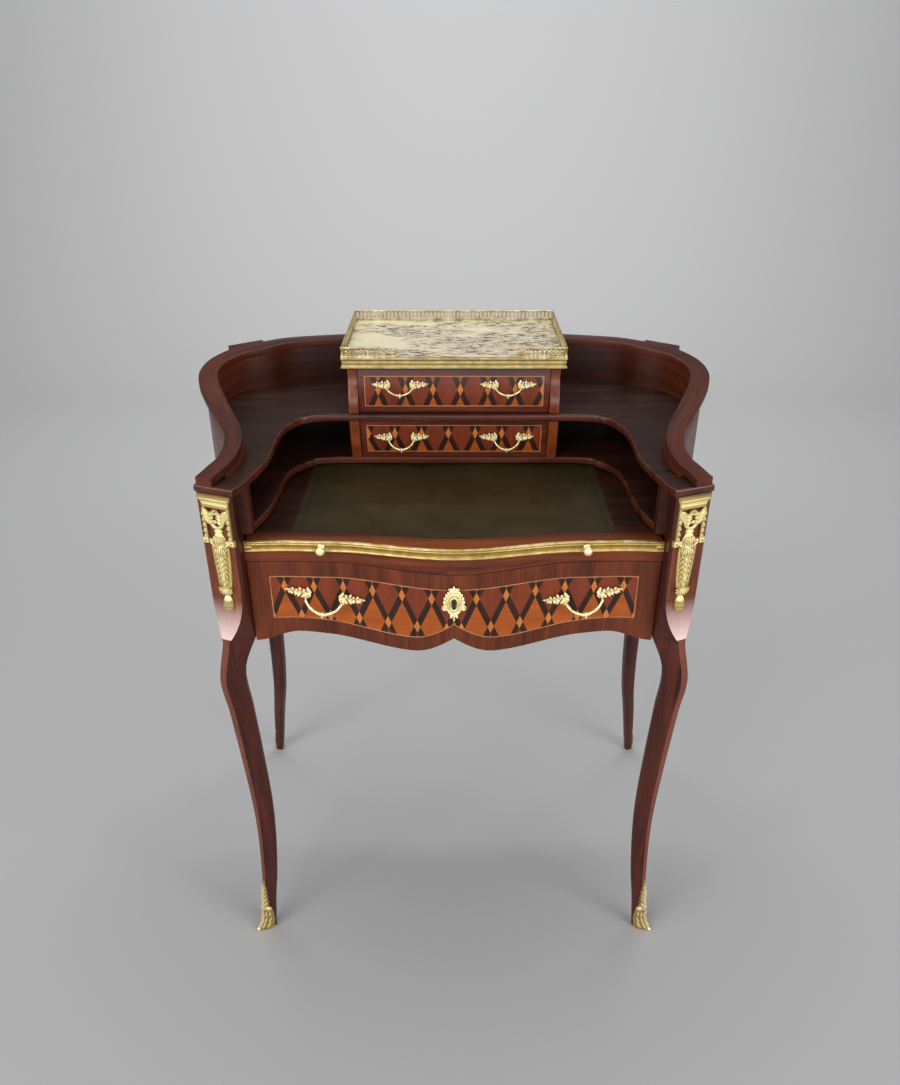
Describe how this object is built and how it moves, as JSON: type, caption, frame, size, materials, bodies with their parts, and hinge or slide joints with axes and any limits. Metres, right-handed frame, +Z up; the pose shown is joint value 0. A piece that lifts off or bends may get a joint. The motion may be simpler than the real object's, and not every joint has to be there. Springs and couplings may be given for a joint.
{
  "type": "lady's writing desk",
  "caption": "Small wooden writing desk on cabriole legs, with a serpentine inlaid drawer, pull-out writing board, curved gallery, cabinet of drawers and marble tray top.",
  "frame": {"origin": "on the floor, under the middle of the desk's bounding box", "axes": "+Z up, +Y towards the back, +X to the right as seen from the sitter's side"},
  "size_m": [0.7714, 0.4982, 0.946],
  "materials": {
    "mahogany": "french polish",
    "dark_mahogany": "french polish",
    "crossbanding": "french polish",
    "marquetry": "french polish",
    "boxwood": "french polish",
    "oak": "waxed",
    "pale_wood": "satin",
    "gilt_brass": "polished, aged",
    "leather": "worn satin",
    "marble": "polished",
    "steel": "dull"
  },
  "bodies": {
    "case": {"leg_front_left": "mahogany", "leg_front_right": "mahogany", "leg_rear_left": "mahogany", "leg_rear_right": "mahogany", "side_wall_left": "mahogany", "side_wall_right": "mahogany", "back_panel": "dark_mahogany", "gallery_cap": "mahogany", "upper_shelf": "dark_mahogany", "floor_board": "dark_mahogany", "front_rail": "mahogany", "slide_bearer_left": "oak", "slide_bearer_right": "oak", "drawer_runner_left": "oak", "drawer_runner_right": "oak", "corner_blocks": "pale_wood", "cabinet_side_left": "mahogany", "cabinet_side_right": "mahogany", "cabinet_top": "mahogany", "cheek_left": "mahogany", "cheek_right": "mahogany", "marble_top": "marble", "tray_band": "gilt_brass", "tray_gallery": "gilt_brass", "chute_left": "gilt_brass", "chute_right": "gilt_brass", "chute_pins": "gilt_brass", "sabot_front_left": "gilt_brass", "sabot_front_right": "gilt_brass", "sabot_rear_left": "gilt_brass", "sabot_rear_right": "gilt_brass"},
    "main_drawer": {"drawer_front": "mahogany", "drawer_crossbanding": "crossbanding", "drawer_marquetry": "marquetry", "drawer_stringing": "boxwood", "drawer_side_left": "oak", "drawer_side_right": "oak", "drawer_back": "oak", "drawer_bottom": "oak", "drawer_pull_left": "gilt_brass", "drawer_pull_right": "gilt_brass", "drawer_pull_nuts": "steel", "escutcheon": "gilt_brass", "lock_case": "steel", "lock_screws": "steel"},
    "lock_bolt": {"lock_bolt": "gilt_brass"},
    "writing_slide": {"slide_board": "mahogany", "slide_leather": "leather", "slide_moulding": "gilt_brass", "slide_knobs": "gilt_brass"},
    "upper_drawer": {"upper_drawer_front": "mahogany", "upper_drawer_marquetry": "marquetry", "upper_drawer_carcase": "oak", "upper_drawer_bottom": "oak", "upper_drawer_pulls": "gilt_brass"},
    "lower_drawer": {"lower_drawer_front": "mahogany", "lower_drawer_marquetry": "marquetry", "lower_drawer_carcase": "oak", "lower_drawer_bottom": "oak", "lower_drawer_pulls": "gilt_brass"}
  },
  "joints": [
    {"name": "main_drawer_slide", "type": "slide", "parent": "case", "child": "main_drawer", "axis": [0, -1, 0], "range_m": [0, 0.25]},
    {"name": "lock_bolt_slide", "type": "slide", "parent": "main_drawer", "child": "lock_bolt", "axis": [0, 0, 1], "range_m": [0, 0.007]},
    {"name": "writing_slide_out", "type": "slide", "parent": "case", "child": "writing_slide", "axis": [0, -1, 0], "range_m": [0, 0.2]},
    {"name": "upper_drawer_slide", "type": "slide", "parent": "case", "child": "upper_drawer", "axis": [0, -1, 0], "range_m": [0, 0.1]},
    {"name": "lower_drawer_slide", "type": "slide", "parent": "case", "child": "lower_drawer", "axis": [0, -1, 0], "range_m": [0, 0.1]}
  ]
}
